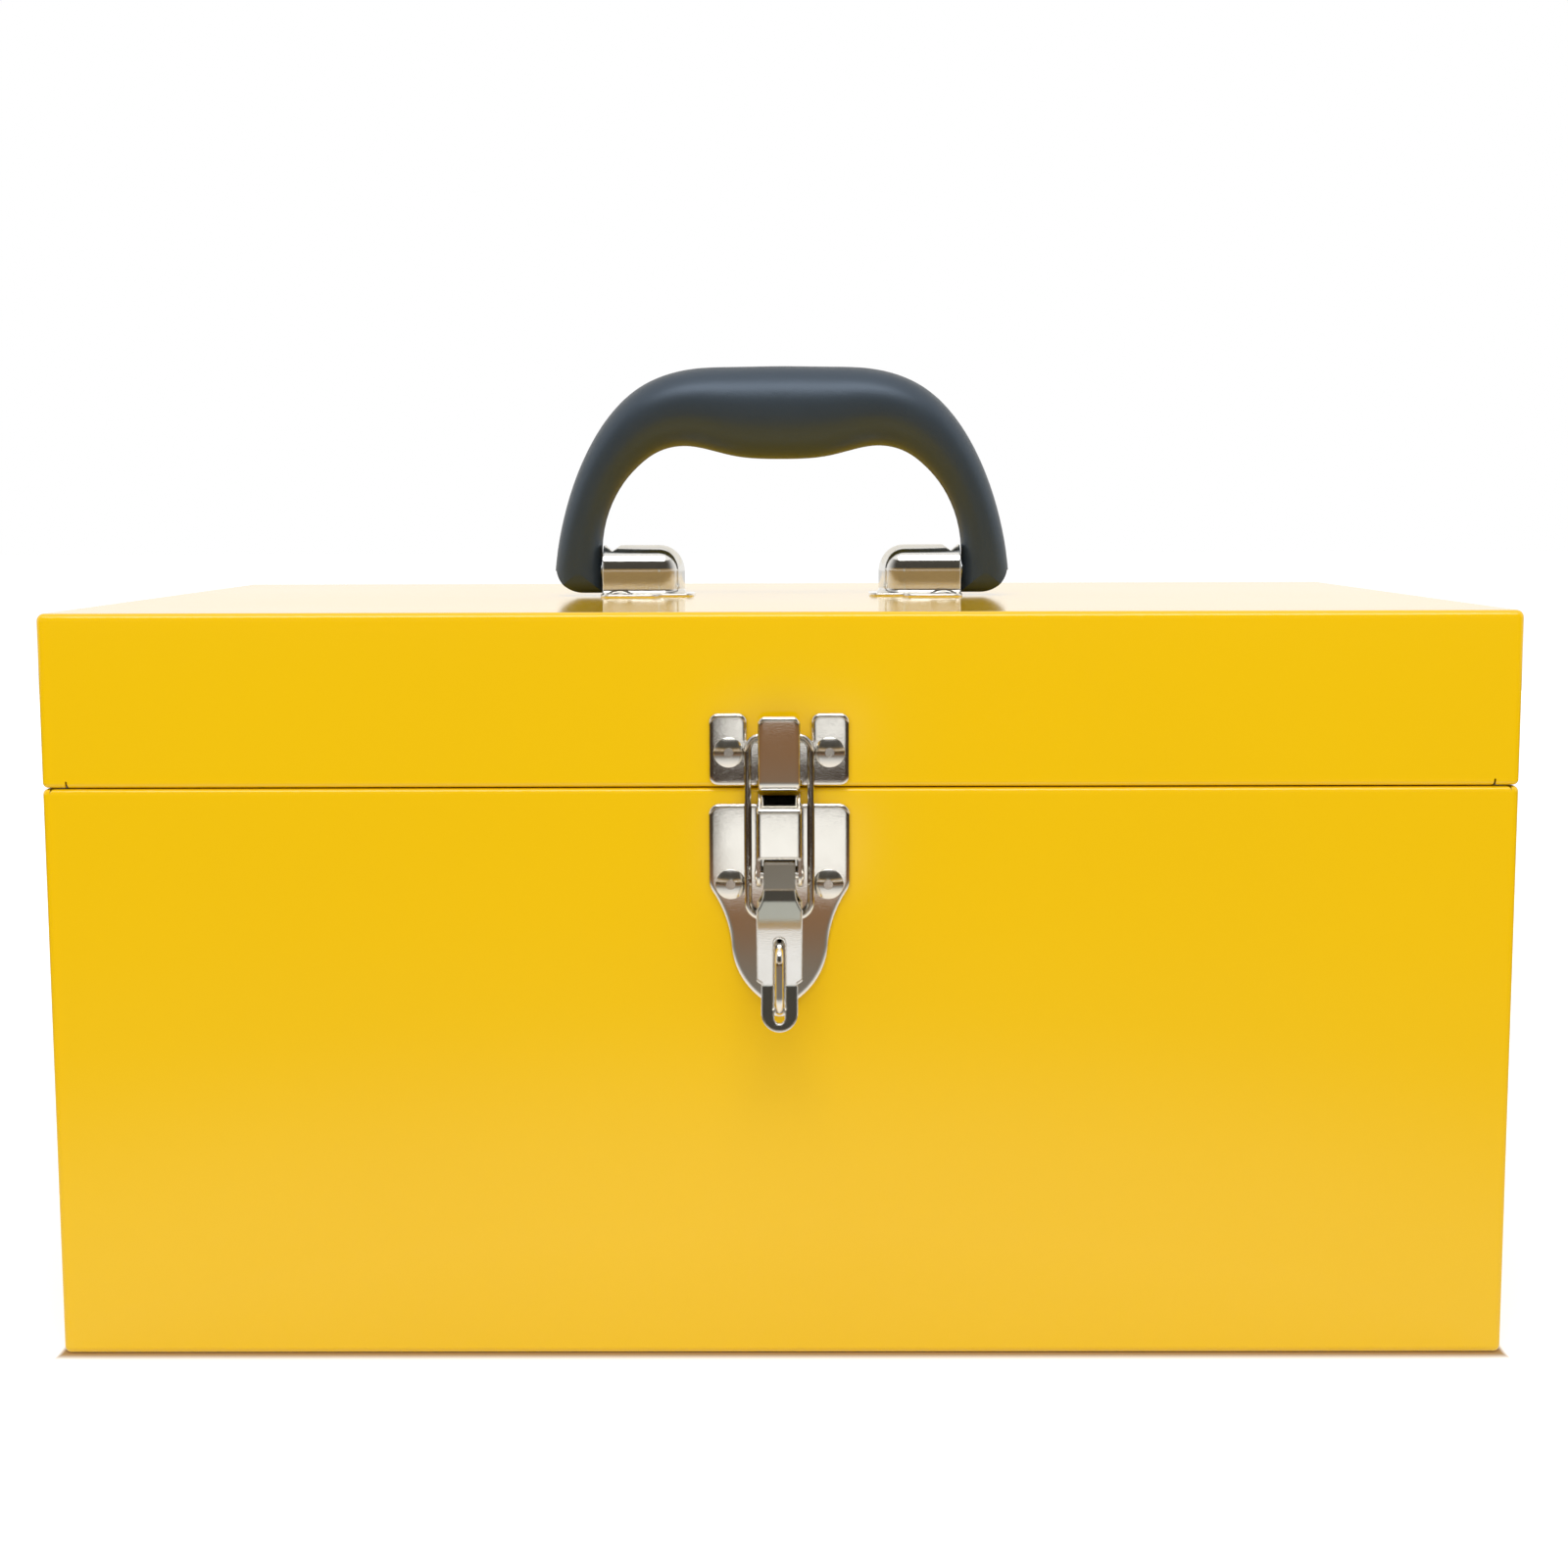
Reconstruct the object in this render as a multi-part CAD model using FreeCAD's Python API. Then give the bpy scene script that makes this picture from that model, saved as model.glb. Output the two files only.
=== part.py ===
import FreeCAD, Part
import math
import os

# Folded steel toolbox with a hinged lid, a draw latch with a padlock staple and a folding handle.
# Millimetres and degrees. The origin is the centre of the footprint on the ground, +X runs to
# the right along the length, -Y is the latch side and +Z is up.

# Box: base and lid are folded from one sheet each, with an inward rim along the seam
BOX_LENGTH = 400.0
BOX_DEPTH = 250.0
BASE_HEIGHT = 158.5
LID_HEIGHT = 47.2
SEAT_GAP = 0.3
SHEET = 1.0
CORNER_RADIUS = 2.0
RIM_BEND_RADIUS = 1.4
RIM_WIDTH = 10.0
LID_RIM_START = 7.0
BASE_RIM_START = 2.2
RIM_MITRE_GAP = 0.5
LID_RELIEF = 0.5
RELIEF_DEPTH = 0.4

# Continuous hinge on the outside of the rear walls
HINGE_LENGTH = 372.0
HINGE_KNUCKLES = 13
KNUCKLE_GAP = 0.4
LEAF_SHEET = 1.0
LEAF_WIDTH = 15.0
CURL_SEAM = 0.4
HINGE_PIN_DIAMETER = 2.5
HINGE_PIN_PROUD = 0.6
PIN_CLEARANCE = 0.05
HINGE_RIVET_OFFSET = 9.5
HINGE_RIVETS_PER_LEAF = 5
HINGE_RIVET_STAGGER = 12.0
HINGE_HEAD_DIAMETER = 6.0
HINGE_HEAD_HEIGHT = 1.1

# Rivets
RIVET_SHANK_DIAMETER = 3.2
RIVET_TAIL_DIAMETER = 5.6
RIVET_TAIL_HEIGHT = 1.0
RIVET_TAIL_TAPER = 0.8
RIVET_FLAT_DIAMETER = 2.6
RIVET_RIM_HEIGHT = 0.3
RIVET_CLEARANCE = 0.05
PLATE_HEAD_DIAMETER = 8.2
PLATE_HEAD_HEIGHT = 1.3

# Latch plates: heights are measured up from the seam, drops down from it, and outs from the wall
PLATE_SHEET = 1.5
PLATE_EDGE_RADIUS = 1.0
KEEPER_WIDTH = 38.0
KEEPER_BOTTOM = 0.6
KEEPER_TOP = 20.3
KEEPER_CORNER = 2.5
KEEPER_NOTCH_WIDTH = 17.2
KEEPER_RIVET_SPACING = 27.2
KEEPER_RIVET_HEIGHT = 9.7
TONGUE_WIDTH = 11.3
TONGUE_RELIEF = 0.4
TONGUE_BOTTOM = -0.2
TONGUE_OUT = 7.8
TONGUE_FOLD_RADIUS = 0.8
TONGUE_TOP = 20.1
TONGUE_LEAN = 4.0
TONGUE_CORNER = 2.2
TONGUE_EDGE_RADIUS = 1.1
SADDLE_WIDTH = 8.6
SADDLE_OUT = 3.8
SADDLE_BOTTOM = 6.0
SADDLE_SLOPE = 2.0
LATCH_PLATE_WIDTH = 38.4
LATCH_PLATE_TOP = 4.2
LATCH_PLATE_CORNER = 3.0
LATCH_SHOULDER_DROP = 27.0
LATCH_SHOULDER_ROUND = 6.0
LATCH_WAIST_WIDTH = 26.4
LATCH_WAIST_DROP = 43.5
LATCH_FLANK_SAG = 1.25
LATCH_TIP_WIDTH = 9.6
LATCH_TIP_DROP = 58.3
LATCH_TIP_SAG = 1.9
LATCH_TIP_FILLET = 1.0
LATCH_RIVET_SPACING = 26.5
LATCH_RIVET_DROP = 26.2

# Raised bridge of the latch plate, whose cheeks carry the lever pin
BRIDGE_WIDTH = 12.0
BRIDGE_SHEET = 0.9
BRIDGE_OUT = 9.6
BRIDGE_LIP_OUT = 1.3
BRIDGE_LIP_DROP = 0.9
BRIDGE_TOP_DROP = 5.0
BRIDGE_END_DROP = 18.3
BRIDGE_CREST_RADIUS = 1.3
BRIDGE_EDGE_RADIUS = 0.7
BRIDGE_LUG_RADIUS = 3.3

# Lever: neck from the roof of the bridge, kick and swell outwards, body, and a finger tab
LEVER_SHEET = 1.0
LEVER_PIVOT_OUT = 6.0
LEVER_PIVOT_DROP = 23.0
LEVER_PIN_DIAMETER = 2.2
LEVER_PIN_HEAD_DIAMETER = 3.6
LEVER_PIN_HEAD_HEIGHT = 0.7
LEVER_PIN_HEAD_TAPER = 0.6
LEVER_TOP_DROP = 19.2
LEVER_NECK_DROP = 26.9
LEVER_NECK_LEAN = -3.5
LEVER_KICK_DROP = 29.5
LEVER_KICK_LEAN = 24.0
LEVER_SWELL_LEAN = 12.0
LEVER_SWELL_DROP = 37.2
LEVER_BODY_LEAN = 8.0
LEVER_CREASE_DROP = 52.1
LEVER_TAB_LEAN = 20.0
LEVER_TAB_DROP = 63.8
LEVER_NECK_WIDTH = 8.6
LEVER_FLARE_DROP = 26.2
LEVER_FLARE_LENGTH = 5.9
LEVER_FLARE_SAG = 0.55
LEVER_WIDTH = 12.4
LEVER_SHOULDER_DROP = 50.8
LEVER_SHOULDER_LENGTH = 0.9
LEVER_TAB_WIDTH = 9.8
LEVER_SLOT_TOP = 39.6
LEVER_SLOT_END = 61.6
STAPLE_SIDE_CLEARANCE = 0.3
LEVER_EAR_RADIUS = 1.9
LEVER_EAR_SHEET = 1.1

# Wire loop between the lever and the keeper
LOOP_WIRE = 2.0
LOOP_WIDTH = 19.0
LOOP_CORNER = 4.0
LOOP_FOOT_OUT = 3.8
LOOP_FOOT_DROP = 34.7
LOOP_HEAD_OUT = 3.0
LOOP_HEAD_HEIGHT = 14.2
LOOP_SEAT_CLEARANCE = 0.45
LOOP_EAR_CLEARANCE = 0.06
LOOP_EAR_SIDE_GAP = 0.2

# Padlock staple
STAPLE_WIRE = 2.2
STAPLE_TOP_DROP = 41.3
STAPLE_FOOT_DROP = 58.4
STAPLE_OUT = 19.4
STAPLE_BEND = 4.0
STAPLE_ROOT = 0.2

# Handle brackets on the lid
HANDLE_PIVOT_RISE = 8.0
BRACKET_SHEET = 0.9
BRACKET_MOUTH_GAP = 0.5
BRACKET_END = 31.0
BRACKET_EAR_WIDTH = 37.0
BRACKET_EAR_END = 38.5
BRACKET_TOE_WIDTH = 19.0
BRACKET_TOE_END = 28.0
BRACKET_FOOT_CORNER = 3.0
BRACKET_FOOT_FILLET = 1.2
BRACKET_RIVET_X = 51.0
BRACKET_RIVET_SPACING = 27.0
CRIMP_DEPTH = 2.0
CRIMP_WIDTH = 5.0
CRIMP_INSET = 3.0

# Handle: trunnions turn in the bracket hoods and are fixed in the legs of the grip
TRUNNION_DIAMETER = 14.0
TRUNNION_CLEARANCE = 0.3
TRUNNION_NECK_DIAMETER = 9.4
TRUNNION_SHOULDER_GAP = 0.6
SPIGOT_DIAMETER = 6.0
SPIGOT_LENGTH = 9.0
LEG_INNER = 57.3
LEG_OUTER = 72.2
LEG_DEPTH = 14.4
TOE_GAP = 0.9
TOE_ROUND = 9.0
GRIP_TOP_RISE = 72.5
GRIP_BELLY_RISE = 43.3
GRIP_DEPTH = 24.0

# Grip sections from the leg to the middle: outer X and rise, inner X and rise, depth
GRIP_SECTIONS = [
    (LEG_OUTER, 0.0, LEG_INNER, 0.0, LEG_DEPTH),
    (LEG_OUTER, 11.0, LEG_INNER, 12.0, LEG_DEPTH),
    (69.7, 24.5, 56.0, 24.0, 15.4),
    (65.0, 39.0, 51.6, 34.0, 17.0),
    (57.0, 54.0, 46.0, 40.8, 19.5),
    (45.0, 66.0, 38.5, 46.0, 22.0),
    (31.5, 71.2, 29.0, 47.4, 23.5),
    (15.5, 72.3, 15.0, 44.3, GRIP_DEPTH),
    (0.0, GRIP_TOP_RISE, 0.0, GRIP_BELLY_RISE, GRIP_DEPTH),
]
SECTION_POINTS = 12

# Places that follow from the sizes above
V = FreeCAD.Vector
X_AXIS = V(1, 0, 0)
Y_AXIS = V(0, 1, 0)
Z_AXIS = V(0, 0, 1)
FRONT = -BOX_DEPTH / 2
REAR = BOX_DEPTH / 2
SEAM = BASE_HEIGHT + SEAT_GAP / 2
LID_TOP = BASE_HEIGHT + SEAT_GAP + LID_HEIGHT
KNUCKLE_BORE = HINGE_PIN_DIAMETER / 2 + PIN_CLEARANCE
KNUCKLE_RADIUS = KNUCKLE_BORE + LEAF_SHEET
HINGE_Y = REAR + KNUCKLE_RADIUS
HINGE_PITCH = HINGE_LENGTH / HINGE_KNUCKLES
HANDLE_PIVOT_Z = LID_TOP + HANDLE_PIVOT_RISE
HOOD_INNER = TRUNNION_DIAMETER / 2 + TRUNNION_CLEARANCE
HOOD_OUTER = HOOD_INNER + BRACKET_SHEET
BRACKET_MOUTH = LEG_INNER - BRACKET_MOUTH_GAP
CRIMP_X = BRACKET_MOUTH - CRIMP_INSET
RIVET_HOLE = RIVET_SHANK_DIAMETER / 2 + RIVET_CLEARANCE
LEVER_BORE = LEVER_PIN_DIAMETER / 2 + PIN_CLEARANCE
LEVER_CURL = LEVER_BORE + LEVER_SHEET
STAPLE_RADIUS = STAPLE_WIRE / 2
LEVER_RUNS = [
    (LEVER_NECK_DROP, LEVER_NECK_LEAN, LEVER_NECK_LEAN),
    (LEVER_KICK_DROP, LEVER_KICK_LEAN, LEVER_KICK_LEAN),
    (LEVER_SWELL_DROP, LEVER_SWELL_LEAN, LEVER_BODY_LEAN),
    (LEVER_CREASE_DROP, LEVER_BODY_LEAN, LEVER_BODY_LEAN),
    (LEVER_TAB_DROP, LEVER_TAB_LEAN, LEVER_TAB_LEAN),
]
LOOP_RADIUS = LOOP_WIRE / 2
TONGUE_FOLD_HEIGHT = TONGUE_BOTTOM + TONGUE_FOLD_RADIUS + PLATE_SHEET
SADDLE_TOP = LOOP_HEAD_HEIGHT - LOOP_RADIUS - LOOP_SEAT_CLEARANCE
SIDES = (-1, 1)

# How near to a place an edge lies that is picked there
PICK = 0.01


def line(start, end):
    return Part.LineSegment(start, end).toShape()


def arc(start, middle, end):
    return Part.Arc(start, middle, end).toShape()


def polygon(points):
    return Part.Face(Part.makePolygon(points + [points[0]]))


def joined(first, *others):
    return first.fuse(list(others)).removeSplitter()


def mirrored_x(shape):
    return shape.mirror(V(0, 0, 0), X_AXIS)


def mirrored_outline(half_edges):
    other_half = [mirrored_x(edge) for edge in half_edges]
    return Part.Wire(Part.__sortEdges__(half_edges + other_half))


def rod_x(x_from, x_to, y, z, radius):
    return Part.makeCylinder(radius, x_to - x_from, V(x_from, y, z), X_AXIS)


def front_point(x, out, height):
    """Point on the latch: out from the front wall, height above the seam."""
    return V(x, FRONT - out, SEAM + height)


def front_prism(face_or_points, out_from, out_to):
    """Solid standing out from the front wall, from (x, height) points or a face at out 0."""
    face = face_or_points
    if isinstance(face, list):
        face = polygon([front_point(x, 0, height) for x, height in face])
    face = face.translated(V(0, -out_from, 0))
    return face.extrude(V(0, out_from - out_to, 0))


def side_prism(points, x_from, x_to):
    """Solid running along X from (out, height) points of the latch."""
    face = polygon([front_point(x_from, out, height) for out, height in points])
    return face.extrude(V(x_to - x_from, 0, 0))


def bent_strip(points, thickness):
    """Outline of a bent strip: the points run along one side and the sheet is on their right."""
    normals = []
    for (u1, z1), (u2, z2) in zip(points, points[1:]):
        length = math.hypot(u2 - u1, z2 - z1)
        normals.append(((z2 - z1) / length, (u1 - u2) / length))
    inner = []
    for index, (u, z) in enumerate(points):
        before = normals[max(index - 1, 0)]
        after = normals[min(index, len(normals) - 1)]
        spread = thickness / (1 + before[0] * after[0] + before[1] * after[1])
        inner.append((u + (before[0] + after[0]) * spread, z + (before[1] + after[1]) * spread))
    return points + inner[::-1]


def bowed_edge(start, end, sag):
    """Arc between two (x, height) points of the front wall, bowed by sag to the left of its run."""
    run_x = end[0] - start[0]
    run_z = end[1] - start[1]
    length = math.hypot(run_x, run_z)
    middle_x = (start[0] + end[0]) / 2 - sag * run_z / length
    middle_z = (start[1] + end[1]) / 2 + sag * run_x / length
    return arc(front_point(start[0], 0, start[1]), front_point(middle_x, 0, middle_z),
               front_point(end[0], 0, end[1]))


def front_line(start, end):
    return line(front_point(start[0], 0, start[1]), front_point(end[0], 0, end[1]))


def across_edges(shape, places):
    """Edges of a front plate that run straight through the sheet at the given (x, height) places."""
    found = []
    for edge in shape.Edges:
        box = edge.BoundBox
        if box.XLength > PICK or box.ZLength > PICK:
            continue
        for x, height in places:
            if abs(box.XMin - x) < PICK and abs(box.ZMin - SEAM - height) < PICK:
                found.append(edge)
    return found


def face_edges(shape, out):
    """Edges that lie in the plane at the given distance out from the front wall."""
    found = []
    for edge in shape.Edges:
        box = edge.BoundBox
        if box.YLength < PICK and abs(box.YMin - (FRONT - out)) < PICK:
            found.append(edge)
    return found


def rivet(head_diameter, head_height, grip):
    """Rivet along +Z: low domed head with a rim and a flat crown, shank through the grip, clenched tail."""
    head = head_diameter / 2
    flat = RIVET_FLAT_DIAMETER / 2
    rim = RIVET_RIM_HEIGHT
    shank = RIVET_SHANK_DIAMETER / 2
    tail = RIVET_TAIL_DIAMETER / 2
    tail_end = tail * RIVET_TAIL_TAPER
    bottom = -grip - RIVET_TAIL_HEIGHT
    centre = (head * head + rim * rim - flat * flat - head_height * head_height) / (2 * (rim - head_height))
    dome = math.hypot(head, rim - centre)
    half_angle = (math.asin(head / dome) + math.asin(flat / dome)) / 2
    crown = V(dome * math.sin(half_angle), 0, centre + dome * math.cos(half_angle))
    outline = Part.Wire([
        line(V(0, 0, head_height), V(flat, 0, head_height)),
        arc(V(flat, 0, head_height), crown, V(head, 0, rim)),
        line(V(head, 0, rim), V(head, 0, 0)),
        line(V(head, 0, 0), V(shank, 0, 0)),
        line(V(shank, 0, 0), V(shank, 0, -grip)),
        line(V(shank, 0, -grip), V(tail, 0, -grip)),
        line(V(tail, 0, -grip), V(tail_end, 0, bottom)),
        line(V(tail_end, 0, bottom), V(0, 0, bottom)),
        line(V(0, 0, bottom), V(0, 0, head_height)),
    ])
    return Part.Face(outline).revolve(V(0, 0, 0), Z_AXIS, 360)


def facing_front(shape, x, out, height):
    shape.rotate(V(0, 0, 0), X_AXIS, 90)
    return shape.translated(front_point(x, out, height))


def facing_rear(shape, x, y, z):
    shape.rotate(V(0, 0, 0), X_AXIS, -90)
    return shape.translated(V(x, y, z))


def rivet_hole(place, direction):
    """Cutter for a rivet shank, long enough to pass through a plate and a wall."""
    reach = PLATE_SHEET + SHEET + LEAF_SHEET + BRACKET_SHEET
    return Part.makeCylinder(RIVET_HOLE, 2 * reach, place - direction * reach, direction)


def rim_strip(run, half_span, height, rim_start):
    """Folded rim of the wall in the plane Y = -half_span: quarter bend and inward flange."""
    def spot(inward, z):
        return V(-run / 2, inward - half_span, z)

    bend = RIM_BEND_RADIUS
    inner_bend = bend - SHEET
    slant = math.sqrt(0.5)
    base = height - bend
    profile = Part.Wire([
        arc(spot(0, base), spot(bend - bend * slant, base + bend * slant), spot(bend, height)),
        line(spot(bend, height), spot(RIM_WIDTH, height)),
        line(spot(RIM_WIDTH, height), spot(RIM_WIDTH, height - SHEET)),
        line(spot(RIM_WIDTH, height - SHEET), spot(bend, height - SHEET)),
        arc(spot(bend, height - SHEET), spot(bend - inner_bend * slant, base + inner_bend * slant),
            spot(SHEET, base)),
        line(spot(SHEET, base), spot(0, base)),
    ])
    strip = Part.Face(profile).extrude(V(run, 0, 0))
    end = run / 2 - rim_start
    mitre = run / 2 - RIM_WIDTH - RIM_MITRE_GAP
    plan = polygon([
        V(-end, -half_span, base),
        V(end, -half_span, base),
        V(mitre, RIM_WIDTH - half_span, base),
        V(-mitre, RIM_WIDTH - half_span, base),
    ])
    return strip.common(plan.extrude(V(0, 0, bend)))


def rim_clearance(run, half_span, height, rim_start, relief):
    """Wall cut away above the bend line of a rim, with any relief slit at each end."""
    end = run / 2 - rim_start
    bend_line = height - RIM_BEND_RADIUS
    cut_depth = 3 * SHEET
    wall = Part.makeBox(2 * end, cut_depth, 2 * RIM_BEND_RADIUS,
                        V(-end, -half_span - SHEET, bend_line))
    if relief == 0:
        return wall
    slits = []
    for side in SIDES:
        middle = side * (end + relief / 2)
        slits.append(Part.makeBox(relief, cut_depth, 2 * RIM_BEND_RADIUS + RELIEF_DEPTH,
                                  V(middle - relief / 2, -half_span - SHEET,
                                    bend_line - RELIEF_DEPTH)))
    return wall.fuse(slits)


def rounded_block(length, depth, height, corner, place):
    """Block with every edge rounded except those round its open top."""
    block = Part.makeBox(length, depth, height, place)
    top = place.z + height
    edges = [edge for edge in block.Edges if edge.BoundBox.ZMin < top - PICK]
    return block.makeFillet(corner, edges)


def folded_tray(height, rim_start, relief):
    """Open tray on Z = 0 with an inward rim round its top that starts a little off each corner."""
    outer = rounded_block(BOX_LENGTH, BOX_DEPTH, height, CORNER_RADIUS,
                          V(-BOX_LENGTH / 2, -BOX_DEPTH / 2, 0))
    inner = rounded_block(BOX_LENGTH - 2 * SHEET, BOX_DEPTH - 2 * SHEET, height,
                          CORNER_RADIUS - SHEET,
                          V(SHEET - BOX_LENGTH / 2, SHEET - BOX_DEPTH / 2, SHEET))
    top_edges = [edge for edge in outer.Edges if edge.BoundBox.ZMin > height - PICK]
    tray = outer.makeFillet(RIM_BEND_RADIUS, top_edges).cut(inner)
    strips = []
    for turn, (run, span) in enumerate([(BOX_LENGTH, BOX_DEPTH), (BOX_DEPTH, BOX_LENGTH)] * 2):
        clearance = rim_clearance(run, span / 2, height, rim_start, relief)
        clearance.rotate(V(0, 0, 0), Z_AXIS, 90 * turn)
        tray = tray.cut(clearance)
        strip = rim_strip(run, span / 2, height, rim_start)
        strip.rotate(V(0, 0, 0), Z_AXIS, 90 * turn)
        strips.append(strip)
    return joined(tray, *strips)


def hinge_rivet_places(stagger, offset):
    """Rivet centres of one leaf: stagger along X keeps the heads of the two leaves apart."""
    spacing = HINGE_LENGTH / HINGE_RIVETS_PER_LEAF
    first = (spacing - HINGE_LENGTH) / 2 + stagger
    return [V(first + spacing * index, REAR, SEAM + offset)
            for index in range(HINGE_RIVETS_PER_LEAF)]


def keeper_rivet_places():
    return [front_point(side * KEEPER_RIVET_SPACING / 2, 0, KEEPER_RIVET_HEIGHT) for side in SIDES]


def latch_rivet_places():
    return [front_point(side * LATCH_RIVET_SPACING / 2, 0, -LATCH_RIVET_DROP) for side in SIDES]


def bracket_rivet_places():
    return [V(side * BRACKET_RIVET_X, end * BRACKET_RIVET_SPACING / 2, LID_TOP)
            for side in SIDES for end in SIDES]


def base_shell():
    shell = folded_tray(BASE_HEIGHT, BASE_RIM_START, 0)
    holes = [rivet_hole(place, Y_AXIS) for place in latch_rivet_places()]
    holes += [rivet_hole(place, Y_AXIS)
              for place in hinge_rivet_places(-HINGE_RIVET_STAGGER / 2, -HINGE_RIVET_OFFSET)]
    return shell.cut(holes)


def lid_shell():
    shell = folded_tray(LID_HEIGHT, LID_RIM_START, LID_RELIEF)
    shell.rotate(V(0, 0, 0), X_AXIS, 180)
    shell = shell.translated(V(0, 0, LID_TOP))
    holes = [rivet_hole(place, Y_AXIS) for place in keeper_rivet_places()]
    holes += [rivet_hole(place, Z_AXIS) for place in bracket_rivet_places()]
    holes += [rivet_hole(place, Y_AXIS)
              for place in hinge_rivet_places(HINGE_RIVET_STAGGER / 2, HINGE_RIVET_OFFSET)]
    return shell.cut(holes)


def hinge_leaf(first_knuckle):
    """Leaf hanging down from the hinge axis, with every second knuckle from the first one."""
    clear = KNUCKLE_RADIUS + KNUCKLE_GAP
    solids = [Part.makeBox(HINGE_LENGTH, LEAF_SHEET, LEAF_WIDTH - clear,
                           V(-HINGE_LENGTH / 2, REAR, SEAM - LEAF_WIDTH))]
    for index in range(first_knuckle, HINGE_KNUCKLES, 2):
        left = index * HINGE_PITCH - HINGE_LENGTH / 2 + KNUCKLE_GAP / 2
        width = HINGE_PITCH - KNUCKLE_GAP
        web = Part.makeBox(width, LEAF_SHEET, clear, V(left, REAR, SEAM - clear))
        curl = rod_x(left, left + width, HINGE_Y, SEAM, KNUCKLE_RADIUS)
        seam = Part.makeBox(width, CURL_SEAM, KNUCKLE_RADIUS,
                            V(left, REAR + LEAF_SHEET, SEAM - KNUCKLE_RADIUS))
        solids.append(curl.cut(seam).fuse(web))
    leaf = joined(*solids)
    return leaf.cut(rod_x(-HINGE_LENGTH, HINGE_LENGTH, HINGE_Y, SEAM, KNUCKLE_BORE))


def hinge_leaf_base():
    holes = [rivet_hole(place, Y_AXIS)
             for place in hinge_rivet_places(-HINGE_RIVET_STAGGER / 2, -HINGE_RIVET_OFFSET)]
    return hinge_leaf(0).cut(holes)


def hinge_leaf_lid():
    holes = [rivet_hole(place, Y_AXIS)
             for place in hinge_rivet_places(HINGE_RIVET_STAGGER / 2, HINGE_RIVET_OFFSET)]
    return hinge_leaf(1).mirror(V(0, 0, SEAM), Z_AXIS).cut(holes)


def hinge_pin():
    half = HINGE_LENGTH / 2 + HINGE_PIN_PROUD
    pin = rod_x(-half, half, HINGE_Y, SEAM, HINGE_PIN_DIAMETER / 2)
    ends = [edge for edge in pin.Edges if edge.BoundBox.XLength < PICK]
    return pin.makeChamfer(HINGE_PIN_PROUD / 2, ends)


def hinge_rivets(stagger, offset):
    rivets = []
    for place in hinge_rivet_places(stagger, offset):
        solid = rivet(HINGE_HEAD_DIAMETER, HINGE_HEAD_HEIGHT, LEAF_SHEET + SHEET)
        rivets.append(facing_rear(solid, place.x, REAR + LEAF_SHEET, place.z))
    return Part.makeCompound(rivets)


def plate_rivets(places):
    rivets = []
    for place in places:
        solid = rivet(PLATE_HEAD_DIAMETER, PLATE_HEAD_HEIGHT, PLATE_SHEET + SHEET)
        rivets.append(facing_front(solid, place.x, PLATE_SHEET, place.z - SEAM))
    return Part.makeCompound(rivets)


def bracket_rivets():
    rivets = []
    for place in bracket_rivet_places():
        solid = rivet(PLATE_HEAD_DIAMETER, PLATE_HEAD_HEIGHT, BRACKET_SHEET + SHEET)
        rivets.append(solid.translated(place + V(0, 0, BRACKET_SHEET)))
    return Part.makeCompound(rivets)


def tongue():
    """Hook of the keeper: folded forward and up from the lower edge, leaning out a little."""
    inner = TONGUE_FOLD_RADIUS
    outer = TONGUE_FOLD_RADIUS + PLATE_SHEET
    rear_out = PLATE_SHEET + inner
    front_out = TONGUE_OUT - outer
    lean = math.radians(TONGUE_LEAN)
    half = TONGUE_WIDTH / 2
    rise = (TONGUE_TOP - TONGUE_FOLD_HEIGHT) / math.cos(lean)

    def around(centre_out, radius, angle):
        return front_point(-half, centre_out + radius * math.cos(angle),
                           TONGUE_FOLD_HEIGHT + radius * math.sin(angle))

    def spot(radius, along):
        return around(front_out, radius, -lean) + V(0, -along * math.sin(lean), along * math.cos(lean))

    def folded_side(radius):
        low = -math.pi / 2
        return [
            arc(around(rear_out, radius, 2 * low), around(rear_out, radius, 1.5 * low),
                around(rear_out, radius, low)),
            line(around(rear_out, radius, low), around(front_out, radius, low)),
            arc(around(front_out, radius, low), around(front_out, radius, (low - lean) / 2),
                spot(radius, 0)),
            line(spot(radius, 0), spot(radius, rise)),
        ]

    ends = [line(spot(outer, rise), spot(inner, rise)),
            line(around(rear_out, inner, math.pi), around(rear_out, outer, math.pi))]
    outline = Part.Wire(Part.__sortEdges__(folded_side(outer) + folded_side(inner) + ends))
    strip = Part.Face(outline).extrude(V(TONGUE_WIDTH, 0, 0))
    plan = front_prism([(-half, -outer), (half, -outer), (half, TONGUE_TOP), (-half, TONGUE_TOP)],
                       -SHEET, 2 * TONGUE_OUT)
    corners = across_edges(plan, [(-half, TONGUE_TOP), (half, TONGUE_TOP)])
    hook = strip.common(plan.makeFillet(TONGUE_CORNER, corners))
    front = max((face for face in hook.Faces if face.CenterOfMass.y < FRONT - front_out),
                key=lambda face: face.Area)
    rounded = [edge for edge in front.Edges
               if edge.CenterOfMass.z > SEAM + TONGUE_FOLD_HEIGHT + TONGUE_EDGE_RADIUS]
    return hook.makeFillet(TONGUE_EDGE_RADIUS, rounded)


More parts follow.
